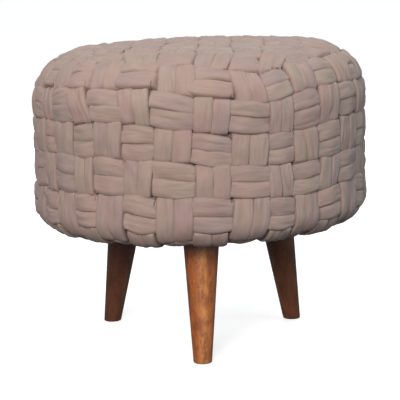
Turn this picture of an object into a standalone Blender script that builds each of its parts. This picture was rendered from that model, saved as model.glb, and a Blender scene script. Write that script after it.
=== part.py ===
# A round footstool: a drum seat covered in a two-by-two basket weave of padded cloth strips,
# standing on three splayed, turned wooden legs. Metres, +Z up, floor at Z = 0, front towards -Y.
import math

import bmesh
import bpy
import numpy as np

# Seat outline, measured to the crests of the weave
seat_radius = 0.215
crown_height = 0.389
crown_rise = 0.016
rim_width = 0.0685
rim_height = 0.0655
tuck_width = 0.0475
tuck_height = 0.0343
tuck_bottom = 0.152
seat_lean = 0.021
points_per_arc = 40
normal_reach = 0.004

# Underside, where the cover ends and the legs stand
underside_height = 0.158
underside_radius = 0.166

# Weave: pairs of strips, so a cell is two strips wide
pairs_across_top = 8
top_grid_radius = 0.185
top_pitch_share = 0.90
row_lengths = (0.043, 0.0415, 0.039, 0.040, 0.0435, 0.047)
front_column_edges_deg = (-64.5, -56.2, -45.4, -36.6, -25.3, -15.0, -2.2, 9.7, 22.6, 31.6, 42.4, 53.2, 65.5)
columns_left_of_corner = 2

# Relief of a cell, below the crests
cell_steps = 4
strip_crest = 0.24
float_end = 0.16
cell_edge_depth = 0.0090
cell_corner_depth = 0.0125
strip_groove_depth = 0.0042
float_end_drop = 0.0022
hand_unevenness = 0.0007
unevenness_seed = 11

# Legs
leg_names = ("leg_front", "leg_right", "leg_left")
foot_circle_radius = 0.1427
foot_radius = 0.0115
leg_taper = 0.073
leg_splay = math.atan(0.17)
leg_clearance = 0.0003
leg_sides = 32
leg_overrun = 0.03
foot_edge_round = 0.0014
rounded_edge_angle = math.radians(40)

columns = 4 * pairs_across_top
rows = len(row_lengths)


def clear_objects():
    for old in list(bpy.data.objects):
        bpy.data.objects.remove(old)


def new_collection(name):
    collection = bpy.data.collections.new(name)
    bpy.context.scene.collection.children.link(collection)
    return collection


def new_material(name, colour, roughness, metallic=0.0):
    material = bpy.data.materials.new(name)
    material.use_nodes = True
    shader = material.node_tree.nodes["Principled BSDF"]
    shader.inputs["Base Color"].default_value = (*colour, 1.0)
    shader.inputs["Roughness"].default_value = roughness
    shader.inputs["Metallic"].default_value = metallic
    return material


def crest_outline():
    """Half section of the seat through the crests, from the middle of the top to the tucked edge."""
    inner = seat_radius - rim_width
    dome_radius = np.linspace(0.0, inner, points_per_arc)
    dome_height = crown_height - crown_rise * (dome_radius / seat_radius) ** 2
    turn = np.linspace(0.0, math.pi / 2, points_per_arc)
    rim_r = inner + rim_width * np.sin(turn)
    rim_z = dome_height[-1] - rim_height * (1.0 - np.cos(turn))
    tuck_r = seat_radius - tuck_width * (1.0 - np.cos(turn))
    tuck_z = tuck_bottom + tuck_height * (1.0 - np.sin(turn))
    radius = np.concatenate((dome_radius, rim_r[1:], tuck_r))
    height = np.concatenate((dome_height, rim_z[1:], tuck_z))
    length = np.concatenate(((0.0,), np.cumsum(np.hypot(np.diff(radius), np.diff(height)))))
    return radius, height, length


outline_radius, outline_height, outline_length = crest_outline()
points_to_widest = 2 * points_per_arc - 1


def outline_at(length):
    return np.array((np.interp(length, outline_length, outline_radius),
                     np.interp(length, outline_length, outline_height)))


def length_at_radius(radius):
    return np.interp(radius, outline_radius[:points_to_widest], outline_length[:points_to_widest])


def crest_point(azimuth, length, depth):
    """Point under the crests: azimuth from the front, length down the outline, depth inwards."""
    ahead = outline_at(length + normal_reach)
    behind = outline_at(max(length - normal_reach, 0.0))
    run = ahead - behind
    run = run / np.hypot(*run)
    radius, height = outline_at(length) - depth * np.array((-run[1], run[0]))
    x = radius * math.sin(azimuth)
    y = -radius * math.cos(azimuth)
    return x, y, height + seat_lean * x


def column_edges():
    """Azimuth of each column's edge, from the grid's front left corner round to it again."""
    front = list(front_column_edges_deg)
    hidden = columns + 1 - len(front)
    back = np.linspace(front[-1], front[0] + 360.0, hidden + 1)[1:]
    edges = front + list(back)
    turned = edges[columns_left_of_corner:] + [edge + 360.0 for edge in edges[1:columns_left_of_corner + 1]]
    return np.radians(turned)


edge_azimuths = column_edges()


def column_azimuth(column):
    return np.interp(column, np.arange(columns + 1), edge_azimuths)


def ring_column(u, v):
    """Place along the grid's border, in columns, of a border point of the -1 to 1 square."""
    half = pairs_across_top / 2
    if v <= -1.0:
        return (u + 1.0) * half
    if u >= 1.0:
        return 2 * half + (v + 1.0) * half
    if v >= 1.0:
        return 4 * half + (1.0 - u) * half
    return 6 * half + (1.0 - v) * half


def square_to_disc(u, v):
    u = top_pitch_share * u + (1.0 - top_pitch_share) * u ** 3
    v = top_pitch_share * v + (1.0 - top_pitch_share) * v ** 3
    x = u * math.sqrt(1.0 - v * v / 2)
    y = v * math.sqrt(1.0 - u * u / 2)
    return math.hypot(x, y), math.atan2(x, -y)


def top_place(u, v):
    """Azimuth and outline length of a point of the top's square grid."""
    share, azimuth = square_to_disc(u, v)
    reach = max(abs(u), abs(v))
    if reach > 0.0:
        border_u, border_v = u / reach, v / reach
        wanted = column_azimuth(ring_column(border_u, border_v))
        plain = square_to_disc(border_u, border_v)[1]
        turn = (wanted - plain + math.pi) % (2 * math.pi) - math.pi
        azimuth += turn * reach ** 2
    return azimuth, length_at_radius(top_grid_radius * share)


row_edges = length_at_radius(top_grid_radius) + np.concatenate(((0.0,), np.cumsum(row_lengths)))


def side_place(column, row):
    return column_azimuth(column % columns), np.interp(row, np.arange(rows + 1), row_edges)


uneven = np.random.default_rng(unevenness_seed).normal(0.0, hand_unevenness, (columns, pairs_across_top + rows))


def cell_relief(first, second, first_over, cell):
    """Moved place in the cell and depth of a grid point, from its two step counts in the cell."""
    middle = cell_steps // 2
    if first == 0 or second == 0:
        depth = cell_corner_depth if first == second else cell_edge_depth
        return first / cell_steps, second / cell_steps, depth
    across = (strip_crest, 0.5, 1.0 - strip_crest)
    along = (float_end, 0.5, 1.0 - float_end)
    over, under = (first, second) if first_over else (second, first)
    depth = float(uneven[cell])
    depth += strip_groove_depth if under == middle else 0.0
    depth += 0.0 if over == middle else float_end_drop
    if first_over:
        return along[first - 1], across[second - 1], depth
    return across[first - 1], along[second - 1], depth


def top_vertex(step_u, step_v):
    """Place of a point of the top grid, from its steps towards +X and +Y."""
    cell_u, sub_u = divmod(step_u, cell_steps)
    cell_v, sub_v = divmod(step_v, cell_steps)
    x_pair_over = (cell_u + cell_v) % 2 == 1
    inside = (cell_u % pairs_across_top, rows + cell_v % pairs_across_top)
    move_u, move_v, depth = cell_relief(sub_u, sub_v, x_pair_over, inside)
    u = 2 * (cell_u + move_u) / pairs_across_top - 1.0
    v = 2 * (cell_v + move_v) / pairs_across_top - 1.0
    azimuth, length = top_place(u, v)
    return crest_point(azimuth, length, depth)


def side_vertex(step_round, step_down):
    """Place of a point of the side, from its steps round from the front left corner and down."""
    column, sub_column = divmod(step_round, cell_steps)
    row, sub_row = divmod(step_down, cell_steps)
    ring_over = (column + row) % 2 == 0
    move_column, move_row, depth = cell_relief(sub_column, sub_row, ring_over, (column % columns, row % rows))
    azimuth, length = side_place(column + move_column, row + move_row)
    return crest_point(azimuth, length, depth)


def underside_vertex(step_round):
    azimuth = column_azimuth(step_round / cell_steps)
    return underside_radius * math.sin(azimuth), -underside_radius * math.cos(azimuth), underside_height


def split_along_crests(shape):
    """Splits each four-sided face along the diagonal that stands further out, so the floats read as pillows."""
    for face in [face for face in shape.faces if len(face.verts) == 4]:
        first, second, third, fourth = face.verts
        one_way = (first.co + third.co).dot(face.normal)
        other_way = (second.co + fourth.co).dot(face.normal)
        ends = (first, third) if one_way > other_way else (second, fourth)
        bmesh.utils.face_split(face, *ends)


def woven_seat():
    """A square grid for the top, its border extruded down the side, and one flat face underneath."""
    steps = pairs_across_top * cell_steps
    shape = bmesh.new()
    bmesh.ops.create_grid(shape, x_segments=steps, y_segments=steps, size=1.0)
    place = {}
    step_round = {}
    for vertex in shape.verts:
        step_u = round((vertex.co.x + 1.0) / 2 * steps)
        step_v = round((vertex.co.y + 1.0) / 2 * steps)
        place[vertex] = top_vertex(step_u, step_v)
        if vertex.is_boundary:
            step_round[tuple(vertex.co)] = round(ring_column(vertex.co.x, vertex.co.y) * cell_steps)
    border = [edge for edge in shape.edges if edge.is_boundary]
    last_step = rows * cell_steps
    for step_down in range(1, last_step + 2):
        grown = bmesh.ops.extrude_edge_only(shape, edges=border)["geom"]
        border = [item for item in grown if isinstance(item, bmesh.types.BMEdge) and item.is_boundary]
        for vertex in [item for item in grown if isinstance(item, bmesh.types.BMVert)]:
            step = step_round[tuple(vertex.co)]
            place[vertex] = side_vertex(step, step_down) if step_down <= last_step else underside_vertex(step)
    bmesh.ops.holes_fill(shape, edges=border)
    for vertex, point in place.items():
        vertex.co = point
    bmesh.ops.recalc_face_normals(shape, faces=shape.faces)
    split_along_crests(shape)
    mesh = bpy.data.meshes.new("woven_seat")
    shape.to_mesh(mesh)
    shape.free()
    mesh.shade_smooth()
    return bpy.data.objects.new("woven_seat", mesh)


def leg_height_slab(collection):
    """Cutter that keeps what stands between the floor and the underside."""
    leg_top = underside_height - leg_clearance
    shape = bmesh.new()
    bmesh.ops.create_cube(shape, size=1.0)
    bmesh.ops.scale(shape, verts=shape.verts, vec=(3 * seat_radius, 3 * seat_radius, leg_top))
    bmesh.ops.translate(shape, verts=shape.verts, vec=(0.0, 0.0, leg_top / 2))
    mesh = bpy.data.meshes.new("leg_height_slab")
    shape.to_mesh(mesh)
    shape.free()
    slab = bpy.data.objects.new("leg_height_slab", mesh)
    slab.hide_render = True
    slab.display_type = "WIRE"
    collection.objects.link(slab)
    return slab


def turned_leg(name, azimuth, slab):
    """A straight taper turned about the leg's axis, leant inwards and cut level at both ends."""
    high = underside_height / math.cos(leg_splay) + leg_overrun
    low = -leg_overrun
    high_radius = foot_radius + leg_taper * high
    low_radius = foot_radius + leg_taper * low
    outline = ((0.0, 0.0, high), (high_radius, 0.0, high), (low_radius, 0.0, low), (0.0, 0.0, low))
    mesh = bpy.data.meshes.new(name)
    mesh.from_pydata(outline, [(0, 1), (1, 2), (2, 3)], [])
    leg = bpy.data.objects.new(name, mesh)
    leg.location = (foot_circle_radius * math.sin(azimuth), -foot_circle_radius * math.cos(azimuth), 0.0)
    leg.rotation_euler = (-leg_splay, 0.0, azimuth)
    turn = leg.modifiers.new("turn", "SCREW")
    turn.steps = leg_sides
    turn.render_steps = leg_sides
    turn.use_merge_vertices = True
    turn.merge_threshold = 0.0001
    turn.use_smooth_shade = True
    cut = leg.modifiers.new("level ends", "BOOLEAN")
    cut.operation = "INTERSECT"
    cut.solver = "EXACT"
    cut.object = slab
    edge = leg.modifiers.new("foot edge", "BEVEL")
    edge.width = foot_edge_round
    edge.segments = 2
    edge.limit_method = "ANGLE"
    edge.angle_limit = rounded_edge_angle
    return leg


def build_footstool():
    clear_objects()
    parts = new_collection("footstool")
    cutters = new_collection("cutters")
    cloth = new_material("cloth", (0.43, 0.31, 0.27), 0.9)
    wood = new_material("wood", (0.23, 0.085, 0.03), 0.45)
    stool = bpy.data.objects.new("stool", None)
    parts.objects.link(stool)
    seat = woven_seat()
    seat.data.materials.append(cloth)
    seat.parent = stool
    parts.objects.link(seat)
    slab = leg_height_slab(cutters)
    for number, name in enumerate(leg_names):
        leg = turned_leg(name, number * 2 * math.pi / len(leg_names), slab)
        leg.data.materials.append(wood)
        leg.parent = stool
        parts.objects.link(leg)


build_footstool()
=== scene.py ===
# Woven round footstool: the cloth strips, the wood and the photo's light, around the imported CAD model.
import math

import bmesh
import bpy
import numpy as np
from mathutils import Matrix, Vector


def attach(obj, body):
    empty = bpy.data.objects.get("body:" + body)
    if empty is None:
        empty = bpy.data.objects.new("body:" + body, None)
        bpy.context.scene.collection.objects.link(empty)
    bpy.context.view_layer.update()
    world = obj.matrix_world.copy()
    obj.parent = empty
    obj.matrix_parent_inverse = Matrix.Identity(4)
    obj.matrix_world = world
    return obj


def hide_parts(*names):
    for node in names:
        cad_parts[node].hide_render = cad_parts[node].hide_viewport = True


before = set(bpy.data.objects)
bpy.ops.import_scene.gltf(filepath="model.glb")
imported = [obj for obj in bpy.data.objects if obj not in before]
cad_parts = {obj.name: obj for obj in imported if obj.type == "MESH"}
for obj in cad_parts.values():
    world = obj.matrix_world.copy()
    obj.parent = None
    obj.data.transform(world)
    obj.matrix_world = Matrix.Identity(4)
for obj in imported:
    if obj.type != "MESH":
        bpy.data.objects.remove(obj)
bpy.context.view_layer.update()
print("frame loaded:", len(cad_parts), "solids")

# Seat outline to the crests of the weave, as in the CAD model, metres
seat = {
    "radius": 0.215,
    "crownHeight": 0.389,
    "crownRise": 0.016,
    "rimWidth": 0.0685,
    "rimHeight": 0.0655,
    "tuckWidth": 0.0475,
    "tuckHeight": 0.0343,
    "tuckBottom": 0.152,
    "lean": 0.021,            # rise towards +X, hand-made
    "outlinePoints": 60,
    "innerRun": 0.06,         # the outline runs on so far inwards under the seat
    "slopeReach": 0.006,      # its slope is taken so far to both sides
}

# Weave: eight pairs of strips each way over the top, six ring pairs round the side
weave = {
    "pairsAcross": 8,
    "topGridRadius": 0.185,
    "topPitchShare": 0.90,
    "rowLengths": (0.043, 0.0415, 0.039, 0.040, 0.0435, 0.047),
    "underLength": 0.04,      # from the last row's edge inwards
    "frontEdgesDeg": (-64.5, -56.2, -45.4, -36.6, -25.3, -15.0, -2.2, 9.7, 22.6, 31.6, 42.4, 53.2, 65.5),
    "edgesLeftOfCorner": 2,   # the next one is a corner of the top grid
    "leanPlacesDeg": (-100.0, -62.0, -42.0, -28.0, -17.5, 0.0, 12.0, 22.0),   # hand-woven: the columns
    "lean": (0.0, -0.090, -0.088, -0.062, -0.014, 0.0, 0.022, 0.0),           # lean there, in radians
    "leanRows": (0.2, 2.4),   # full above the first, none below the second
    "topLeanGain": 6.0,       # and stronger further in over the top
    "dropPlacesDeg": (-100.0, -62.0, -42.0, -33.0, -24.0, -14.0, -2.0, 10.0, 22.0, 31.0, 42.0, 53.0, 80.0),
    "drops": (                # the rows' upper edges sag there, from the first row down
        (0.0, -0.006, -0.012, -0.014, -0.015, -0.011, -0.002, 0.009, 0.016, 0.006, -0.003, -0.004, 0.0),
        (0.0, -0.005, -0.011, -0.0115, -0.0125, -0.010, -0.002, 0.007, 0.013, 0.005, -0.004, -0.004, 0.0),
        (0.0, -0.008, -0.008, -0.012, -0.012, -0.005, -0.001, 0.005, 0.0085, 0.008, 0.005, -0.001, 0.0),
        (0.0, -0.006, -0.008, -0.0095, -0.007, -0.006, -0.0025, 0.0025, 0.007, 0.005, 0.006, 0.0035, 0.0),
        (0.0, 0.0, -0.001, -0.0035, -0.0035, -0.001, -0.002, 0.0025, 0.004, 0.005, 0.005, 0.001, 0.0),
        (0.0, 0.0, -0.003, -0.003, -0.001, 0.0, 0.0, 0.001, 0.003, 0.003, 0.001, 0.0, 0.0),
    ),
    "dropEaseDeg": 13,
    "straightLimit": 0.95,    # radians from the front, up to where a dropped strip stays upright in view
    "tuck": 0.36,             # cells by which the last ring pair sits further under the edge
    "tailCells": 0.20,        # strip left past the last row, hidden over the underside
}

# One padded strip, lengths in metres unless said
strip = {
    "halfThick": 0.0066,
    "widthShare": {"ring": 1.11, "lengthwise": 1.05, "crosswise": 1.05},   # of half the way to its neighbour
    "rimShare": 0.57,         # of its pair's width, for the strip nearest the rim
    "drawIn": {"ring": 0.0, "lengthwise": 0.028, "crosswise": 0.028},      # strips of a pair together, cells
    "reach": {"ring": 0.36, "lengthwise": 0.18, "crosswise": 0.18},        # a float stays up past its cell
    "plump": {"ring": 0.0021, "lengthwise": 0.0015, "crosswise": 0.0015},  # a float's middle above its ends
    "creaseDepth": {"ring": 0.0008, "lengthwise": 0.0014, "crosswise": 0.0014},
    "overSteps": 12,          # sections along a float
    "topPoints": 28,          # round the section, on the side that shows
    "bottomPoints": 12,
    "squareness": {"ring": 3.6, "lengthwise": 4.4, "crosswise": 4.4},
    "steepness": 5.5,         # how fast a float dives at its ends
    "diveHeight": 0.0060,     # half the height between over and under
    "endPinch": 0.05,         # width lost at a float's ends
    "pairPinch": {"ring": 0.026, "lengthwise": 0.0, "crosswise": 0.0},   # and both strips drawn together
    "topPlump": 0.2,          # share of plump where the seat is sat on, pressed flatter
    "topRows": (-0.3, -1.5),  # from the first to the second of these rows, counted from the top's border
    "fadeRows": (1.6, -0.6),  # the painted shade fades from the first to the second
    "raise": 0.0008,          # the whole weave above the CAD model's crests
    "lowSwell": 0.0016,       # the lowest rows, fuller
    "lowRows": (3.5, 5.5),
    "rimSwell": 0.0018,       # and the upper rim, most at this row
    "rimRow": -0.3,
    "rimReach": 2.0,
    "underSpread": 0.17,      # the last row's upright floats, wider
    "underSpreadRows": (4.7, 5.3),
    "underTuck": 0.0030,      # and drawn in under the edge
    "underTuckRows": (5.3, 5.8),
    "pairSway": 0.045,        # sideways, in cells, both strips of a pair together
    "rimSway": 1.0,           # so much more where the top turns over the rim
    "rimSwayCells": 0.9,
    "wanderCells": 0.014,     # and each by itself
    "heightJitter": 0.0008,
    "widthJitter": 0.015,     # shares of the width and thickness
    "thickJitter": 0.02,
    "jitterCells": 0.5,
    "rollDeg": 4.5,
    "lumpDepth": 0.0011,
    "diveSteps": (0.0, 0.04, 0.08, 0.13, 0.20),   # sections at both ends of a dive, in cells
    "numberSpan": (1.0, 40.0),                    # each strip's own place in the noise, by chance
    "seed": 23,
}

n = weave["pairsAcross"]
half = n / 2
columns = 4 * n
rows = len(weave["rowLengths"])
crossingCells = 2 * rows + n
chance = np.random.default_rng(strip["seed"])


def ramp(value, start, end):   # 0 up to the start, 1 from the end on
    return np.clip((value - start) / (end - start), 0.0, 1.0)


def crestOutline():
    count = seat["outlinePoints"]
    inner = seat["radius"] - seat["rimWidth"]
    domeR = np.linspace(0.0, inner, count)
    domeZ = seat["crownHeight"] - seat["crownRise"] * (domeR / seat["radius"]) ** 2
    turn = np.linspace(0.0, math.pi / 2, count)
    rimR = inner + seat["rimWidth"] * np.sin(turn)
    rimZ = domeZ[-1] - seat["rimHeight"] * (1.0 - np.cos(turn))
    tuckR = seat["radius"] - seat["tuckWidth"] * (1.0 - np.cos(turn))
    tuckZ = seat["tuckBottom"] + seat["tuckHeight"] * (1.0 - np.sin(turn))
    radius = np.concatenate((domeR, rimR[1:], tuckR, [tuckR[-1] - seat["innerRun"]]))
    height = np.concatenate((domeZ, rimZ[1:], tuckZ, [tuckZ[-1]]))
    length = np.concatenate(([0.0], np.cumsum(np.hypot(np.diff(radius), np.diff(height)))))
    return radius, height, length, 2 * count - 1


outlineR, outlineZ, outlineL, widest = crestOutline()


def lengthAtRadius(radius):
    return np.interp(radius, outlineR[:widest], outlineL[:widest])


def crestPoint(azimuth, length, depth):   # points below the crests, and the directions out of the seat there
    reach = seat["slopeReach"]
    ahead, behind = length + reach, np.maximum(length - reach, 0.0)
    runR = np.interp(ahead, outlineL, outlineR) - np.interp(behind, outlineL, outlineR)
    runZ = np.interp(ahead, outlineL, outlineZ) - np.interp(behind, outlineL, outlineZ)
    size = np.hypot(runR, runZ)
    outR, outZ = -runZ / size, runR / size
    radius = np.interp(length, outlineL, outlineR) - depth * outR
    height = np.interp(length, outlineL, outlineZ) - depth * outZ
    east, north = np.sin(azimuth), -np.cos(azimuth)
    points = np.stack((radius * east, radius * north, height + seat["lean"] * radius * east), axis=-1)
    return points, np.stack((outR * east, outR * north, outZ), axis=-1)


def columnEdges():
    front = list(weave["frontEdgesDeg"])
    back = list(np.linspace(front[-1], front[0] + 360.0, columns + 2 - len(front))[1:])
    edges = front + back
    first = weave["edgesLeftOfCorner"]
    return np.radians(edges[first:] + [edge + 360.0 for edge in edges[1:first + 1]])


edgeAzimuths = columnEdges()
rowEdges = lengthAtRadius(weave["topGridRadius"]) + np.concatenate(([0.0], np.cumsum(weave["rowLengths"])))
rowEdges = np.append(rowEdges, rowEdges[-1] + weave["underLength"])


def columnAzimuth(column):
    turns = np.floor(column / columns)
    return np.interp(column - turns * columns, np.arange(columns + 1), edgeAzimuths) + turns * 2 * math.pi


def halfTurn(azimuth):   # from -pi to pi
    return (azimuth + math.pi) % (2 * math.pi) - math.pi


def handLean(azimuth):
    return np.interp(np.degrees(halfTurn(azimuth)), weave["leanPlacesDeg"], weave["lean"])


def easedDrops():   # for each row edge, over whole degrees, and none at the last edge
    degrees = np.arange(-180.0, 181.0)
    window = np.hanning(weave["dropEaseDeg"] + 2)
    window /= window.sum()
    plain = [np.interp(degrees, weave["dropPlacesDeg"], drops) for drops in weave["drops"]]
    return degrees, [np.convolve(drops, window, "same") for drops in plain] + [np.zeros(len(degrees))]


dropDegrees, dropTables = easedDrops()


def handDrop(azimuth, row):   # at each azimuth, between the two row edges next to it
    degrees = np.degrees(halfTurn(azimuth))
    drops = np.stack([np.interp(degrees, dropDegrees, table) for table in dropTables])
    row = np.broadcast_to(np.clip(row, 0.0, len(dropTables) - 1.001), degrees.shape)
    low = np.floor(row).astype(int)
    spot = np.arange(len(degrees))
    return drops[low, spot] * (low + 1 - row) + drops[low + 1, spot] * (row - low)


def straightDown(azimuth, length, drop):   # as seen from the front, so the turn changes with the radius
    tiny = 1e-6
    radius = np.interp(length, outlineL, outlineR) + tiny
    dropped = np.interp(length + drop, outlineL, outlineR) + tiny
    fromFront = np.clip(halfTurn(azimuth), -weave["straightLimit"], weave["straightLimit"])
    return azimuth + (radius / dropped - 1.0) * np.tan(fromFront), length + drop


def ringColumn(u, v):   # place along the top grid's border, in columns
    front = (u + 1.0) * half
    right = 2 * half + (v + 1.0) * half
    back = 4 * half + (1.0 - u) * half
    left = 6 * half + (1.0 - v) * half
    return np.where(v <= -1.0, front, np.where(u >= 1.0, right, np.where(v >= 1.0, back, left)))


def squareToDisc(u, v):
    share = weave["topPitchShare"]
    u = share * u + (1 - share) * u ** 3
    v = share * v + (1 - share) * v ** 3
    x = u * np.sqrt(1 - v * v / 2)
    y = v * np.sqrt(1 - u * u / 2)
    return np.hypot(x, y), np.arctan2(x, -y)


def topPlace(u, v):
    discShare, azimuth = squareToDisc(u, v)
    reach = np.maximum(np.maximum(np.abs(u), np.abs(v)), 1e-9)
    borderU, borderV = np.clip(u / reach, -1, 1), np.clip(v / reach, -1, 1)
    wanted = columnAzimuth(ringColumn(borderU, borderV))
    plain = squareToDisc(borderU, borderV)[1]
    turn = halfTurn(wanted - plain)
    turn = turn + handLean(wanted) * (1.0 + weave["topLeanGain"] * (1.0 - reach))
    length = lengthAtRadius(weave["topGridRadius"] * discShare)
    return straightDown(azimuth + turn * reach ** 2, length, handDrop(wanted, 0.0) * reach ** 2)


def sidePlace(column, row):
    azimuth = columnAzimuth(column)
    past = ramp(row, *weave["leanRows"])
    leaning = azimuth + handLean(azimuth) * (1.0 - past * past * (3.0 - 2.0 * past))
    return straightDown(leaning, np.interp(row, np.arange(rows + 2), rowEdges), handDrop(azimuth, row))


def crossingPlace(along, across, alongX):   # a strip up one side, over the top and down the other
    w = 2 * across / n - 1.0
    t = np.clip(2 * (along - rows) / n - 1.0, -1.0, 1.0)
    topAzimuth, topLength = topPlace(t, w) if alongX else topPlace(w, t)
    nearColumn = 6 * half + (1 - w) * half if alongX else (w + 1) * half
    farColumn = 2 * half + (w + 1) * half if alongX else 4 * half + (1 - w) * half
    nearAzimuth, nearLength = sidePlace(nearColumn, np.maximum(rows - along, 0.0))
    farAzimuth, farLength = sidePlace(farColumn, np.maximum(along - rows - n, 0.0))
    near, far = along < rows, along > rows + n
    azimuth = np.where(near, nearAzimuth, np.where(far, farAzimuth, topAzimuth))
    length = np.where(near, nearLength, np.where(far, farLength, topLength))
    return azimuth, length


def longerLastFloats(along, shift):   # they run on to where the last ring pair sits
    near = along < crossingCells / 2
    overNear = shift % 2 == 1
    down = np.where(near, rows - along, along - rows - n)
    last = np.where(near == overNear, rows - 2, rows - 1)
    extra = weave["tuck"] * np.clip(down - last, 0.0, 1.0)
    return np.where(near, along - extra, along + extra)


def easedNoise(along, spacing, amount, period=None, dice=chance):   # seeded, eased between knots
    first = math.floor(along[0] / spacing)
    knots = dice.normal(0.0, amount, int(along[-1] / spacing) - first + 3)
    if period:
        count = round(period / spacing)
        knots[count:] = knots[:len(knots) - count]
    where = along / spacing - first
    low = np.floor(where).astype(int)
    part = where - low
    part = part * part * (3 - 2 * part)
    return knots[low] * (1 - part) + knots[low + 1] * part


def sectionPlaces(start, end, index):   # along one strip, in cells: close where it shows or dives
    steps = strip["overSteps"]
    over = (1 - np.cos(math.pi * np.arange(steps) / steps)) / 2
    dive = np.array(strip["diveSteps"])
    under = np.concatenate((dive, [0.5], 1 - dive[:0:-1]))
    cells = range(math.floor(start), math.ceil(end))
    return np.concatenate([cell + (over if (cell + index) % 2 == 0 else under) for cell in cells])


def strandPath(kind, index, side):   # everything the sweep needs at each point along one strip
    ring = kind == "ring"
    tail = weave["tailCells"]
    shift = index + (1 if kind == "crosswise" else 0)
    if ring:
        along = sectionPlaces(0, columns, shift)
    else:
        along = sectionPlaces(-tail, crossingCells + tail, shift)
        inside = along[(along > -tail) & (along < crossingCells + tail)]
        along = np.concatenate(([-tail], inside, [crossingCells + tail]))
    period = columns if ring else None
    pairDice = np.random.default_rng((strip["seed"], ("ring", "lengthwise", "crosswise").index(kind), index))
    wave = np.sin(math.pi * (along + shift))
    shown = np.maximum(wave, 0.0)
    span = 0.5   # of the pair's width
    if not ring and index in (0, n - 1):
        span = strip["rimShare"] if (index == 0) == (side == 0) else 1.0 - strip["rimShare"]
    drawIn = strip["drawIn"][kind] + strip["pairPinch"][kind] * (1 - shown) ** 2
    across = index + (span / 2 + drawIn if side == 0 else 1.0 - span / 2 - drawIn)
    swayGain = 1.0
    if not ring:
        pastRim = np.minimum(np.abs(along - rows), np.abs(along - rows - n))
        swayGain = 1.0 + strip["rimSway"] * np.exp(-(pastRim / strip["rimSwayCells"]) ** 2)
    across = across + swayGain * easedNoise(along, 1.0, strip["pairSway"], period, pairDice)
    across = across + easedNoise(along, 1.0, strip["wanderCells"], period)

    last = ring and index == rows - 1
    if last:
        across = across + weave["tuck"]
    placed = along if ring else longerLastFloats(along, shift)

    def place(offset):
        if ring:
            return sidePlace(placed, across + offset)
        return crossingPlace(placed, across + offset, kind == "crosswise")

    up = np.tanh(strip["steepness"] * (wave + strip["reach"][kind]))
    if not ring:   # the ends go under the last ring pair's inner edge and stay in
        outside = np.clip(np.maximum(-along, along - crossingCells) / tail, 0.0, 1.0)
        up = up * (1 - outside) - outside
    ringRow = index + 0.5 + (weave["tuck"] if last else 0.0)
    lowRow = np.full(len(along), ringRow) if ring else np.maximum(rows - along, along - rows - n)
    plump = strip["plump"][kind] * (1 - (1 - strip["topPlump"]) * ramp(lowRow, *strip["topRows"]))
    depth = strip["halfThick"] + strip["diveHeight"] * (1 - up) + plump * (1 - shown ** 2)
    rim = ramp(np.abs(lowRow - strip["rimRow"]), strip["rimReach"], 0.0)
    low = ramp(lowRow, *strip["lowRows"])
    depth -= strip["raise"] + strip["lowSwell"] * low + strip["rimSwell"] * rim
    depth += strip["underTuck"] * ramp(lowRow, *strip["underTuckRows"])
    depth += np.abs(easedNoise(along, 1.0, strip["heightJitter"], period))
    base = crestPoint(*place(0.0), 0.0)[0]
    centre, outward = crestPoint(*place(0.0), depth)
    left, right = (crestPoint(*place(offset), depth)[0] for offset in (-span / 2, span / 2))
    if ring:
        tangent = np.roll(base, -1, axis=0) - np.roll(base, 1, axis=0)
    else:
        tangent = np.gradient(base, axis=0)
    tangent /= np.linalg.norm(tangent, axis=1)[:, None]
    sideways = np.cross(tangent, outward)
    sideways /= np.linalg.norm(sideways, axis=1)[:, None]
    roll = easedNoise(along, 1.0, math.radians(strip["rollDeg"]), period)[:, None]
    sideways, outward = (np.cos(roll) * sideways + np.sin(roll) * outward,
                         np.cos(roll) * outward - np.sin(roll) * sideways)
    halfWidth = np.linalg.norm(right - left, axis=1) / 2 * strip["widthShare"][kind]
    halfWidth *= 1 - strip["endPinch"] * (1 - shown) ** 2
    jitterCells = strip["jitterCells"]
    halfWidth *= 1 + easedNoise(along, jitterCells, strip["widthJitter"], period)
    if not ring:
        halfWidth *= 1 + strip["underSpread"] * ramp(lowRow, *strip["underSpreadRows"])
    halfThick = strip["halfThick"] * (1 + easedNoise(along, jitterCells, strip["thickJitter"], period))
    run = np.concatenate(([0.0], np.cumsum(np.linalg.norm(np.diff(base, axis=0), axis=1))))
    return {"centre": centre, "across": sideways, "outward": outward, "halfWidth": halfWidth,
            "halfThick": halfThick, "run": run, "fade": ramp(lowRow, *strip["fadeRows"]), "closed": ring}


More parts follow.
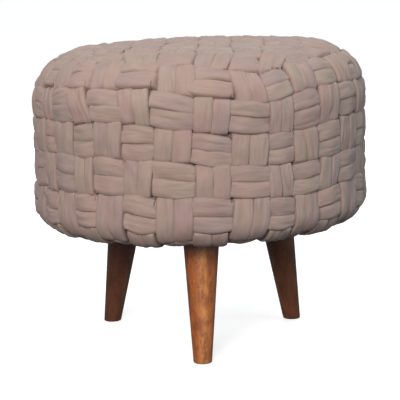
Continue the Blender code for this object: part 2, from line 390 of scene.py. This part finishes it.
class Nodes:   # short calls for building a node tree
    def __init__(self, tree):
        self.tree = tree

    def add(self, kind, inputs=(), **settings):
        node = self.tree.nodes.new(kind)
        for name, value in settings.items():
            setattr(node, name, value)
        for socket, value in dict(inputs).items():
            self.join(value, node.inputs[socket])
        return node

    def join(self, value, socket):
        if isinstance(value, bpy.types.NodeSocket):
            self.tree.links.new(value, socket)
        else:
            socket.default_value = value

    def math(self, operation, *values, clamp=False):
        node = self.add("ShaderNodeMath", enumerate(values), operation=operation, use_clamp=clamp)
        return node.outputs[0]

    def vector(self, operation, first, second):
        node = self.add("ShaderNodeVectorMath", {0: first}, operation=operation)
        self.join(second, node.inputs["Scale" if operation == "SCALE" else 1])
        return node.outputs["Vector"]

    def named(self, name, dataType):
        node = self.add("GeometryNodeInputNamedAttribute", {"Name": name}, data_type=dataType)
        return node.outputs["Attribute"]

    def store(self, geometry, name, dataType, value):
        values = {"Geometry": geometry, "Name": name, "Value": value}
        node = self.add("GeometryNodeStoreNamedAttribute", values, data_type=dataType, domain="POINT")
        return node.outputs["Geometry"]

    def noise(self, at, scales, detail, span, result=(0.0, 1.0), distortion=0.0):   # its span, as the result
        where = self.vector("MULTIPLY", at, scales)
        value = self.add("ShaderNodeTexNoise", {"Vector": where, "Scale": 1.0, "Detail": detail,
                                                "Distortion": distortion}).outputs[0]
        return self.add("ShaderNodeMapRange", {0: value, 1: span[0], 2: span[1],
                                               3: result[0], 4: result[1]}).outputs[0]

    def mix(self, factor, first, second):   # colours as sockets, or as red, green and blue
        node = self.add("ShaderNodeMix", {0: factor}, data_type="RGBA")
        for slot, colour in ((6, first), (7, second)):
            self.join((*colour, 1.0) if isinstance(colour, tuple) else colour, node.inputs[slot])
        return node.outputs[2]

    def bump(self, height, strength, distance):
        return self.add("ShaderNodeBump", {"Height": height, "Strength": strength,
                                           "Distance": distance}).outputs[0]


def newGeometryTree(name, sockets):
    tree = bpy.data.node_groups.new(name, "GeometryNodeTree")
    tree.interface.new_socket("Geometry", in_out="INPUT", socket_type="NodeSocketGeometry")
    tree.interface.new_socket("Geometry", in_out="OUTPUT", socket_type="NodeSocketGeometry")
    for label, (kind, value) in sockets.items():
        socket = tree.interface.new_socket(label, in_out="INPUT", socket_type=kind)
        if value is not None:
            socket.default_value = value
    return tree


folds = {   # over the way along a strip, across it, and the strip's own number
    "creaseScales": (11.0, 84.0, 7.31),
    "creaseDetail": 0.6,
    "creaseDistortion": 0.25,
    "creaseNarrow": 8.0,
    "creasePower": 0.6,
    "breakScales": (24.0, 60.0, 4.7),   # where a crease fades out and starts again
    "breakGain": 4.0,
    "breakStart": 0.55,
    "lumpScales": (55.0, 70.0, 3.17),
    "lumpDetail": 1.0,
    "lumpGain": 3.0,
    "showGain": 1.4,          # creases and lumps end round the strip's edge
    "showStart": 0.1,
    "sidePower": 10.0,
}


def stripSweepTree():
    tree = newGeometryTree("paddedStripSweep", {
        "Top Points": ("NodeSocketInt", strip["topPoints"]),
        "Bottom Points": ("NodeSocketInt", strip["bottomPoints"]),
        "Squareness": ("NodeSocketFloat", strip["squareness"]["ring"]),
        "Crease Depth": ("NodeSocketFloat", strip["creaseDepth"]["ring"]),
        "Lump Depth": ("NodeSocketFloat", strip["lumpDepth"]),
        "Seed": ("NodeSocketFloat", float(strip["seed"])),
        "Cloth": ("NodeSocketMaterial", None),
    })
    build = Nodes(tree)
    group = tree.nodes.new("NodeGroupInput").outputs
    path = build.add("GeometryNodeMeshToCurve", {"Mesh": group["Geometry"]}).outputs["Curve"]

    # section: even steps across the top, fewer under it, closer together at both edges
    topCount, bottomCount = group["Top Points"], group["Bottom Points"]
    around = build.add("GeometryNodeCurvePrimitiveCircle",
                       {"Resolution": build.math("ADD", topCount, bottomCount)}, mode="RADIUS")
    index = build.add("GeometryNodeInputIndex").outputs[0]
    isTop = build.math("LESS_THAN", index, build.math("ADD", topCount, 0.5))
    overTop = build.math("SUBTRACT", 1.0, build.math("DIVIDE", build.math("MULTIPLY", index, 2.0), topCount))
    past = build.math("MULTIPLY", build.math("SUBTRACT", index, topCount), 2.0)
    underneath = build.math("SUBTRACT", build.math("DIVIDE", past, bottomCount), 1.0)
    even = build.math("ADD", build.math("MULTIPLY", isTop, overTop),
                      build.math("MULTIPLY", build.math("SUBTRACT", 1.0, isTop), underneath))
    eased = build.math("SUBTRACT", 1.5, build.math("MULTIPLY", 0.5, build.math("MULTIPLY", even, even)))
    sideways = build.math("MULTIPLY", even, eased)
    power = group["Squareness"]
    fall = build.math("POWER", build.math("ABSOLUTE", sideways), power)
    rise = build.math("POWER", build.math("MAXIMUM", build.math("SUBTRACT", 1.0, fall), 0.0),
                      build.math("DIVIDE", 1.0, power))
    upwards = build.math("MULTIPLY", rise, build.math("SUBTRACT", build.math("MULTIPLY", isTop, 2.0), 1.0))
    section = build.store(around.outputs["Curve"], "sideways", "FLOAT", sideways)
    section = build.store(section, "upwards", "FLOAT", upwards)
    swept = build.add("GeometryNodeCurveToMesh", {"Curve": path, "Profile Curve": section, "Fill Caps": True})

    sideways, upwards = build.named("sideways", "FLOAT"), build.named("upwards", "FLOAT")
    across, outward = build.named("across", "FLOAT_VECTOR"), build.named("outward", "FLOAT_VECTOR")
    halfWidth, halfThick = build.named("halfWidth", "FLOAT"), build.named("halfThick", "FLOAT")
    run, strand = build.named("run", "FLOAT"), build.named("strand", "FLOAT")
    fade = build.named("fade", "FLOAT")
    alongSection = build.math("MULTIPLY", sideways, halfWidth)
    cloth = build.add("ShaderNodeCombineXYZ", {0: run, 1: alongSection, 2: strand}).outputs[0]

    def fourWay(scales, detail, distortion=0.0):   # noise about zero, over the cloth and the seed
        values = {"Vector": build.vector("MULTIPLY", cloth, scales), "W": group["Seed"], "Scale": 1.0,
                  "Detail": detail, "Distortion": distortion}
        noise = build.add("ShaderNodeTexNoise", values, noise_dimensions="4D")
        return build.math("SUBTRACT", noise.outputs[0], 0.5)

    # sharp long creases between soft folds, and slow lumps of the filling
    valleys = fourWay(folds["creaseScales"], folds["creaseDetail"], folds["creaseDistortion"])
    away = build.math("MULTIPLY", build.math("ABSOLUTE", valleys), folds["creaseNarrow"], clamp=True)
    fold = build.math("POWER", away, folds["creasePower"])
    strong = build.math("MULTIPLY_ADD", fourWay(folds["breakScales"], 0.0), folds["breakGain"],
                        folds["breakStart"], clamp=True)
    crease = build.math("MULTIPLY", build.math("SUBTRACT", 1.0, fold), strong)
    lump = build.math("MULTIPLY", fourWay(folds["lumpScales"], folds["lumpDetail"]), folds["lumpGain"])
    lift = build.math("SUBTRACT", build.math("MULTIPLY", lump, group["Lump Depth"]),
                      build.math("MULTIPLY", crease, group["Crease Depth"]))
    showing = build.math("MULTIPLY_ADD", upwards, folds["showGain"], folds["showStart"], clamp=True)
    high = build.math("MULTIPLY_ADD", lift, showing, build.math("MULTIPLY", upwards, halfThick))
    place = build.named("centre", "FLOAT_VECTOR")
    place = build.vector("ADD", place, build.vector("SCALE", across, alongSection))
    place = build.vector("ADD", place, build.vector("SCALE", outward, high))
    moved = build.add("GeometryNodeSetPosition", {"Geometry": swept.outputs["Mesh"], "Position": place})
    shape = build.store(moved.outputs[0], "cloth", "FLOAT_VECTOR", cloth)
    side = build.math("POWER", build.math("ABSOLUTE", sideways), folds["sidePower"])
    shade = build.add("ShaderNodeCombineXYZ", {0: crease, 1: side, 2: fade}).outputs[0]
    shape = build.store(shape, "shade", "FLOAT_VECTOR", shade)
    for name in ("sideways", "upwards", "across", "outward", "halfWidth", "halfThick", "run", "strand",
                 "fade", "centre"):
        shape = build.add("GeometryNodeRemoveAttribute", {"Geometry": shape, "Name": name}).outputs[0]
    smooth = build.add("GeometryNodeSetShadeSmooth", {"Geometry": shape}).outputs[0]
    real = build.add("GeometryNodeRealizeInstances", {"Geometry": smooth}).outputs[0]
    done = build.add("GeometryNodeSetMaterial", {"Geometry": real, "Material": group["Cloth"]}).outputs[0]
    tree.links.new(done, tree.nodes.new("NodeGroupOutput").inputs[0])
    return tree


def runTree(obj, tree, values, name):   # the tree's result as a plain mesh object
    modifier = obj.modifiers.new(name, "NODES")
    modifier.node_group = tree
    ids = {item.name: item.identifier for item in tree.interface.items_tree if item.in_out == "INPUT"}
    for label, value in values.items():
        modifier[ids[label]] = value
    ready = obj.evaluated_get(bpy.context.evaluated_depsgraph_get())
    mesh = bpy.data.meshes.new_from_object(ready)
    mesh.name = name
    bpy.data.objects.remove(obj)
    return link(bpy.data.objects.new(name, mesh))


def link(obj):
    bpy.context.scene.collection.objects.link(obj)
    return obj


def facesOut(obj):
    shape = bmesh.new()
    shape.from_mesh(obj.data)
    bmesh.ops.recalc_face_normals(shape, faces=shape.faces)
    shape.to_mesh(obj.data)
    shape.free()


def pathObject(name, strands):   # one edge chain for each strip, with the sweep's values on its points
    points, edges, strandNumbers = [], [], []
    for strand in strands:
        first, count = sum(map(len, points)), len(strand["run"])
        points.append(strand["centre"])
        edges += [(first + k, first + k + 1) for k in range(count - 1)]
        edges += [(first + count - 1, first)] if strand["closed"] else []
        strandNumbers.append(np.full(count, chance.uniform(*strip["numberSpan"])))
    mesh = bpy.data.meshes.new(name)
    mesh.from_pydata(np.concatenate(points).tolist(), edges, [])
    for label in ("centre", "across", "outward"):
        layer = mesh.attributes.new(label, "FLOAT_VECTOR", "POINT")
        values = np.concatenate([strand[label] for strand in strands])
        layer.data.foreach_set("vector", values.astype(np.float32).ravel())
    for label in ("halfWidth", "halfThick", "run", "fade"):
        layer = mesh.attributes.new(label, "FLOAT", "POINT")
        values = np.concatenate([strand[label] for strand in strands])
        layer.data.foreach_set("value", values.astype(np.float32))
    layer = mesh.attributes.new("strand", "FLOAT", "POINT")
    layer.data.foreach_set("value", np.concatenate(strandNumbers).astype(np.float32))
    return link(bpy.data.objects.new(name, mesh))


def newMaterial(name):
    material = bpy.data.materials.new(name)
    material.use_nodes = True
    return material, Nodes(material.node_tree), material.node_tree.nodes["Principled BSDF"]


clothLook = {
    "khaki": (0.456, 0.338, 0.284),
    "blush": (0.468, 0.314, 0.276),
    "mauve": (0.417, 0.300, 0.282),
    "roughness": 0.95,
    "sheen": 0.12,
    "creaseShade": 0.18,
    "sideShade": 0.24,
    "blushPatches": {"scales": (11.0, 16.0, 5.3), "detail": 1.0, "span": (0.36, 0.64)},
    "mauvePatches": {"scales": (8.0, 12.0, 9.7), "detail": 1.0, "span": (0.50, 0.72)},
    "mottle": {"scales": (45.0, 90.0, 3.1), "detail": 3.0, "span": (0.3, 0.7), "result": (0.93, 1.06)},
    "streak": {"scales": (40.0, 420.0, 9.1), "detail": 2.0, "span": (0.3, 0.7), "result": (0.97, 1.03)},
    "fibres": {"scales": (60.0, 330.0, 9.1), "detail": 3.0, "span": (0.2, 0.8)},
    "fuzz": {"scales": (900.0, 900.0, 13.0), "detail": 2.0, "span": (0.2, 0.8)},
    "fuzzShare": 0.22,
    "bumpStrength": 0.7,
    "bumpDepth": 0.0006,
    "plainShade": 0.25,
    "plainThreads": {"Scale": 160.0, "Distortion": 0.4},
    "plainBumpStrength": 0.5,
}


def clothToneGroup():   # mottled colour and fibre height, over coordinates in metres
    tree = bpy.data.node_groups.new("clothTone", "ShaderNodeTree")
    tree.interface.new_socket("Vector", in_out="INPUT", socket_type="NodeSocketVector")
    for label in ("Khaki", "Blush", "Mauve"):
        socket = tree.interface.new_socket(label, in_out="INPUT", socket_type="NodeSocketColor")
        socket.default_value = (*clothLook[label.lower()], 1.0)
    tree.interface.new_socket("Shade", in_out="INPUT", socket_type="NodeSocketFloat")
    tree.interface.new_socket("Color", in_out="OUTPUT", socket_type="NodeSocketColor")
    tree.interface.new_socket("Height", in_out="OUTPUT", socket_type="NodeSocketFloat")
    build = Nodes(tree)
    group = tree.nodes.new("NodeGroupInput").outputs
    out = tree.nodes.new("NodeGroupOutput")

    def layer(name):
        return build.noise(group["Vector"], **clothLook[name])

    tone = build.mix(layer("blushPatches"), group["Khaki"], group["Blush"])
    tone = build.mix(layer("mauvePatches"), tone, group["Mauve"])
    light = build.math("MULTIPLY", build.math("MULTIPLY", layer("mottle"), layer("streak")),
                       build.math("SUBTRACT", 1.0, group["Shade"]))
    build.join(build.vector("SCALE", tone, light), out.inputs["Color"])
    height = build.math("MULTIPLY_ADD", layer("fuzz"), clothLook["fuzzShare"], layer("fibres"))
    build.join(height, out.inputs["Height"])
    return tree


def dressInCloth(build, shader, group, at, shade):   # what both cloths share; gives the tone's node
    tone = build.add("ShaderNodeGroup", {"Vector": at, "Shade": shade}, node_tree=group)
    build.join(tone.outputs["Color"], shader.inputs["Base Color"])
    shader.inputs["Roughness"].default_value = clothLook["roughness"]
    shader.inputs["Sheen Weight"].default_value = clothLook["sheen"]
    return tone


def clothMaterial(group):
    material, build, shader = newMaterial("mauveCotton")
    at = build.add("ShaderNodeAttribute", attribute_name="cloth").outputs["Vector"]
    marks = build.add("ShaderNodeAttribute", attribute_name="shade").outputs["Vector"]
    parts = build.add("ShaderNodeSeparateXYZ", {0: marks}).outputs
    crease = build.math("MULTIPLY", build.math("POWER", parts[0], 2.0), clothLook["creaseShade"])
    shade = build.math("MULTIPLY_ADD", parts[1], clothLook["sideShade"], crease, clamp=True)
    shade = build.math("MULTIPLY", shade, build.math("SUBTRACT", 1.0, parts[2]))
    tone = dressInCloth(build, shader, group, at, shade)
    bump = build.bump(tone.outputs["Height"], clothLook["bumpStrength"], clothLook["bumpDepth"])
    build.join(bump, shader.inputs["Normal"])
    return material


def plainClothMaterial(group):   # the flat cloth under the seat and behind the strips
    _, build, shader = newMaterial("plainCotton")
    at = build.add("ShaderNodeTexCoord").outputs["Object"]
    dressInCloth(build, shader, group, at, clothLook["plainShade"])
    threads = {"Vector": at, **clothLook["plainThreads"]}
    weft, warp = (build.add("ShaderNodeTexWave", threads, bands_direction=way).outputs[1] for way in "XY")
    threaded = build.math("MULTIPLY", weft, warp)
    bump = build.bump(threaded, clothLook["plainBumpStrength"], clothLook["bumpDepth"])
    build.join(bump, shader.inputs["Normal"])


def weaveSeat():
    tree = stripSweepTree()
    group = clothToneGroup()
    cloth = clothMaterial(group)
    plainClothMaterial(group)
    pieces = []
    for kind, count in (("lengthwise", n), ("crosswise", n), ("ring", rows)):
        for index in range(count):
            name = f"{kind}_pair_{index + 1}"
            strands = [strandPath(kind, index, side) for side in (0, 1)]
            sizes = {"Cloth": cloth, "Crease Depth": strip["creaseDepth"][kind],
                     "Squareness": strip["squareness"][kind]}
            piece = runTree(pathObject(name + "_path", strands), tree, sizes, name)
            facesOut(piece)
            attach(piece, "root")
            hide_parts("woven_seat")
            pieces.append(piece)
    print("strips woven:", len(pieces), "pairs,", sum(len(p.data.polygons) for p in pieces), "faces")


weaveSeat()


core = {
    "depth": 0.0115,
    "topDepth": 0.0062,       # the filling is pressed up between the strips on top
    "easeRadii": (0.10, 0.17),
    "shortOfLastRow": 0.012,
    "points": 40,
    "sides": 96,
}
underside = {
    "height": 0.158,
    "thick": 0.006,
    "radius": 0.168,
    "edge": 0.002,
    "edgeRound": 0.0006,      # off the lower edge's middle
    "sides": 128,
}


def turned(name, profile, sides, lean=0.0):   # a closed solid of revolution from (radius, height) pairs
    angles = np.linspace(0.0, 2 * math.pi, sides, endpoint=False)
    shape = bmesh.new()
    rings = []
    for radius, height in profile:
        if radius <= 0.0:
            rings.append([shape.verts.new((0.0, 0.0, height))])
        else:
            rings.append([shape.verts.new((radius * math.sin(a), -radius * math.cos(a),
                                           height + lean * radius * math.sin(a))) for a in angles])
    for upper, lower in zip(rings[:-1], rings[1:]):
        for k in range(sides):
            corners = [upper[k % len(upper)], upper[(k + 1) % len(upper)],
                       lower[(k + 1) % len(lower)], lower[k % len(lower)]]
            shape.faces.new(list(dict.fromkeys(corners)))
    bmesh.ops.recalc_face_normals(shape, faces=shape.faces)
    mesh = bpy.data.meshes.new(name)
    shape.to_mesh(mesh)
    shape.free()
    mesh.shade_smooth()
    return link(bpy.data.objects.new(name, mesh))


def seatInside():
    length = np.linspace(0.0, rowEdges[rows] - core["shortOfLastRow"], core["points"])
    depth = np.interp(length, lengthAtRadius(core["easeRadii"]), (core["topDepth"], core["depth"]))
    points, _ = crestPoint(np.full(len(length), math.pi), length, depth)
    profile = [(float(abs(p[1])), float(p[2])) for p in points]
    profile[0] = (0.0, profile[0][1])
    profile.append((0.0, profile[-1][1]))
    drum = turned("padded_drum", profile, core["sides"], seat["lean"])
    edge, low, high = underside["edge"], underside["height"], underside["height"] + underside["thick"]
    out, soft = underside["radius"], underside["edgeRound"]
    outline = [(0.0, high), (out - edge, high), (out, high - edge), (out, low + edge),
               (out - soft, low + soft), (out - edge, low), (0.0, low)]
    disc = turned("underside_cloth", outline, underside["sides"])
    for piece in (drum, disc):
        piece.data.materials.append(bpy.data.materials["plainCotton"])
        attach(piece, "root")
    print("inside made")


seatInside()


# Turned, splayed legs, as in the CAD model
leg = {
    "footCircle": 0.1427,
    "footRadius": 0.0115,
    "taper": 0.073,
    "splay": math.atan(0.17),
    "top": 0.1577,
    "edge": 0.0016,
    "edgeSteps": 4,
    "sides": 96,
    "rings": 30,
    "azimuthsDeg": {"front": 0.0, "right": 120.0, "left": 240.0},
}

woodLook = {
    "honey": (0.530, 0.154, 0.035),
    "chestnut": (0.250, 0.058, 0.019),
    "umber": (0.039, 0.0185, 0.0185),
    "pale": (0.80, 0.315, 0.098),
    "grain": {"scales": (230.0, 230.0, 13.0), "detail": 4.0, "span": (0.35, 0.68), "distortion": 0.6},
    "blotch": {"scales": (85.0, 85.0, 42.0), "detail": 3.0, "span": (0.46, 0.62)},
    "flecks": {"scales": (480.0, 480.0, 130.0), "detail": 2.0, "span": (0.60, 0.67)},
    "streaks": {"scales": (115.0, 115.0, 8.0), "detail": 2.0, "span": (0.44, 0.62)},
    "specks": {"scales": (520.0, 520.0, 210.0), "detail": 2.0, "span": (0.60, 0.68)},
    "shares": {"grain": 0.50, "blotch": 0.60, "flecks": 0.36, "streaks": 0.14, "specks": 0.35},
    "paintedHighlightBand": (0.0105, 0.003),  # painted highlight: a paler band down the leg's outer face, from its edge to full
    "highlightMiddle": 0.0015,
    "highlightShare": 0.47,
    "highlightStreaks": 0.35,
    "roughness": 0.34,
    "grainRoughness": 0.12,
    "coat": 0.6,
    "coatRoughness": 0.25,
    "relief": {"flecks": -0.6, "grain": 0.4},
    "bumpStrength": 0.35,
    "bumpDepth": 0.0008,
    "paintedSeatShadow": 0.60,         # painted shadow of the seat: darker towards it, between these heights
    "paintedSeatShadowSpan": (0.125, 0.156),
    "paintedLegShade": {"front": 0.0, "right": 0.64, "left": 0.73},   # painted shade: the side legs darker, the same wood in the seat's shade
}


def woodMaterial(side):
    material, build, shader = newMaterial("stainedHardwoodPaintedShade_" + side)
    at = build.add("ShaderNodeAttribute", attribute_name="timber").outputs["Vector"]
    names = ("grain", "blotch", "flecks", "streaks", "specks")
    grain, blotch, flecks, streaks, specks = (build.noise(at, **woodLook[name]) for name in names)
    shares = woodLook["shares"]
    acrossLeg, _, height = build.add("ShaderNodeSeparateXYZ", {0: at}).outputs
    # painted highlight: a paler streaked band down the leg, added to the grain's own pale streaks
    fromMiddle = build.math("ABSOLUTE", build.math("SUBTRACT", acrossLeg, woodLook["highlightMiddle"]))
    highlightEdge, highlightFull = woodLook["paintedHighlightBand"]
    highlight = build.add("ShaderNodeMapRange", {0: fromMiddle, 1: highlightEdge, 2: highlightFull}).outputs[0]
    streakyHighlight = build.math("MULTIPLY_ADD", streaks, woodLook["highlightStreaks"], woodLook["highlightShare"])
    streaksAndHighlight = build.math("MULTIPLY_ADD", streaks, shares["streaks"], build.math("MULTIPLY", highlight, streakyHighlight))
    # painted shadow of the seat: the wood darker towards the leg's top
    low, high = woodLook["paintedSeatShadowSpan"]
    towardsTop = build.add("ShaderNodeMapRange", {0: height, 1: low, 2: high}).outputs[0]
    # painted shade: the seat's shadow at the top, and the side legs darker all over
    paintedLegShade = build.math("MULTIPLY_ADD", towardsTop, woodLook["paintedSeatShadow"], woodLook["paintedLegShade"][side], clamp=True)

    tone = woodLook["honey"]
    for factor, colour in ((build.math("MULTIPLY", grain, shares["grain"]), "chestnut"), (streaksAndHighlight, "pale"),
                           (build.math("MULTIPLY", blotch, shares["blotch"]), "chestnut"),
                           (build.math("MULTIPLY", flecks, shares["flecks"]), "umber"),
                           (build.math("MULTIPLY", specks, shares["specks"]), "pale"), (paintedLegShade, "umber")):
        tone = build.mix(factor, tone, woodLook[colour])
    build.join(tone, shader.inputs["Base Color"])
    rough = build.math("MULTIPLY_ADD", grain, woodLook["grainRoughness"], woodLook["roughness"])
    build.join(rough, shader.inputs["Roughness"])
    shader.inputs["Coat Weight"].default_value = woodLook["coat"]
    shader.inputs["Coat Roughness"].default_value = woodLook["coatRoughness"]
    grainRelief = build.math("MULTIPLY", grain, woodLook["relief"]["grain"])
    relief = build.math("MULTIPLY_ADD", flecks, woodLook["relief"]["flecks"], grainRelief)
    build.join(build.bump(relief, woodLook["bumpStrength"], woodLook["bumpDepth"]), shader.inputs["Normal"])
    return material


def turnedLeg(side, azimuth):
    away = Vector((math.sin(azimuth), -math.cos(azimuth), 0.0))
    foot = away * leg["footCircle"]
    axis = (Vector((0.0, 0.0, 1.0)) - away * math.tan(leg["splay"])).normalized()
    first = axis.cross(Vector((0.0, 0.0, 1.0))).normalized()
    second = axis.cross(first).normalized()
    edge, steps = leg["edge"], leg["edgeSteps"]
    low = [edge * (1 - math.cos(math.pi / 2 * k / steps)) for k in range(steps + 1)]
    heights = low + list(np.linspace(edge * 2, leg["top"], leg["rings"]))
    shape = bmesh.new()
    rings, timber = [], []
    for height in heights:
        inset = edge - math.sqrt(max(edge ** 2 - (edge - min(height, edge)) ** 2, 0.0))
        ring = []
        for k in range(leg["sides"]):
            turn = 2 * math.pi * k / leg["sides"]
            radial = math.cos(turn) * first + math.sin(turn) * second
            radius = leg["footRadius"] - inset
            t = (height - radius * radial.z) / (axis.z + leg["taper"] * radial.z)
            size = radius + leg["taper"] * t
            ring.append(shape.verts.new(foot + axis * t + radial * size))
            timber.append((math.cos(turn) * size, math.sin(turn) * size, t))
        rings.append(ring)
    for lower, upper in zip(rings[:-1], rings[1:]):
        for k in range(leg["sides"]):
            after = (k + 1) % leg["sides"]
            shape.faces.new((lower[k], lower[after], upper[after], upper[k]))
    shape.faces.new(rings[0])
    shape.faces.new(rings[-1])
    bmesh.ops.recalc_face_normals(shape, faces=shape.faces)
    mesh = bpy.data.meshes.new("turned_leg_" + side)
    shape.to_mesh(mesh)
    shape.free()
    mesh.shade_smooth()
    layer = mesh.attributes.new("timber", "FLOAT_VECTOR", "POINT")
    layer.data.foreach_set("vector", np.array(timber, dtype=np.float32).ravel())
    mesh.materials.append(woodMaterial(side))
    piece = link(bpy.data.objects.new(mesh.name, mesh))
    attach(piece, "root")
    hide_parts("leg_" + side)


def makeLegs():
    for side, azimuth in leg["azimuthsDeg"].items():
        turnedLeg(side, math.radians(azimuth))
    print("legs turned")


makeLegs()

camera = {
    "place": (-0.0007, -1.9244, 0.5164),
    "downDeg": 9.95,
    "rollDeg": -0.8,
    "focalPixels": 1489.0,
    "framePixels": 400.0,
    "sensor": 36.0,
}


def addCamera():
    data = bpy.data.cameras.new("camera")
    data.sensor_width = camera["sensor"]
    data.lens = camera["focalPixels"] / camera["framePixels"] * camera["sensor"]
    view = link(bpy.data.objects.new("camera", data))
    tilt = Matrix.Rotation(math.radians(90 - camera["downDeg"]), 4, "X")
    roll = Matrix.Rotation(math.radians(camera["rollDeg"]), 4, "Z")
    view.matrix_world = Matrix.Translation(camera["place"]) @ tilt @ roll
    bpy.context.scene.camera = view


studio = {
    "key": {"watts": 36.5, "size": 1.1, "place": (-0.53, -2.26, 1.15), "colour": (1.0, 0.949, 0.900)},
    "overhead": {"watts": 8.5, "size": 1.8, "place": (-0.15, 0.15, 2.1), "colour": (0.85, 1.04, 0.93)},
    "coolFill": {"watts": 7.0, "size": 1.0, "place": (2.2, -0.4, 0.7), "colour": (0.60, 0.92, 1.0)},
    "backFill": {"watts": 11.0, "size": 1.2, "place": (0.25, 2.3, 0.7), "colour": (1.0, 0.97, 0.94)},
    "aim": (0.0, 0.0, 0.25),
    "skyHigh": 0.46,          # ambient light from above and from below
    "skyLow": 0.08,
    "skySpan": (-0.15, 0.40),
    "skyColour": (0.95, 0.985, 1.04, 1.0),
    "floorRadius": 30.0,
    "floorThick": 0.02,
    "floorColour": 0.85,
    "floorRoughness": 0.9,
    "floorGlow": 0.64,
}


def softLight(name, values):
    data = bpy.data.lights.new(name, "AREA")
    data.shape = "DISK"
    data.size = values["size"]
    data.energy = values["watts"]
    data.color = values["colour"]
    light = link(bpy.data.objects.new(name, data))
    light.location = values["place"]
    light.visible_camera = False
    light.rotation_euler = (Vector(studio["aim"]) - light.location).to_track_quat("-Z", "Y").to_euler()


def studioSky():   # white behind the stool, softer light on it
    world = bpy.data.worlds.new("studio")
    bpy.context.scene.world = world
    world.use_nodes = True
    build = Nodes(world.node_tree)
    behind = world.node_tree.nodes["Background"]
    behind.inputs["Color"].default_value = (1.0, 1.0, 1.0, 1.0)
    way = build.add("ShaderNodeTexCoord").outputs["Generated"]
    up = build.add("ShaderNodeSeparateXYZ", {0: way}).outputs[2]
    low, high = studio["skySpan"]
    strength = build.add("ShaderNodeMapRange", {0: up, 1: low, 2: high, 3: studio["skyLow"],
                                                4: studio["skyHigh"]}).outputs[0]
    ambient = build.add("ShaderNodeBackground", {"Color": studio["skyColour"], "Strength": strength})
    seen = build.add("ShaderNodeLightPath").outputs["Is Camera Ray"]
    both = build.add("ShaderNodeMixShader", {0: seen, 1: ambient.outputs[0], 2: behind.outputs[0]})
    build.join(both.outputs[0], world.node_tree.nodes["World Output"].inputs["Surface"])


def paleFloor():
    wide, deep = studio["floorRadius"], -studio["floorThick"]
    floor = turned("floor", [(0.0, 0.0), (wide, 0.0), (wide, deep), (0.0, deep)], 64)
    material, _, shader = newMaterial("paleFloor")
    shade = studio["floorColour"]
    shader.inputs["Base Color"].default_value = (shade, shade, shade, 1.0)
    shader.inputs["Roughness"].default_value = studio["floorRoughness"]
    shader.inputs["Emission Color"].default_value = (1.0, 1.0, 1.0, 1.0)
    shader.inputs["Emission Strength"].default_value = studio["floorGlow"]
    floor.data.materials.append(material)
    floor.visible_diffuse = False   # no bounce: the photo's stool is dark underneath
    floor.visible_glossy = False


def addStudio():
    studioSky()
    for name in ("key", "overhead", "coolFill", "backFill"):
        softLight(name, studio[name])
    paleFloor()
    bpy.context.scene.view_settings.view_transform = "Standard"


addCamera()
addStudio()
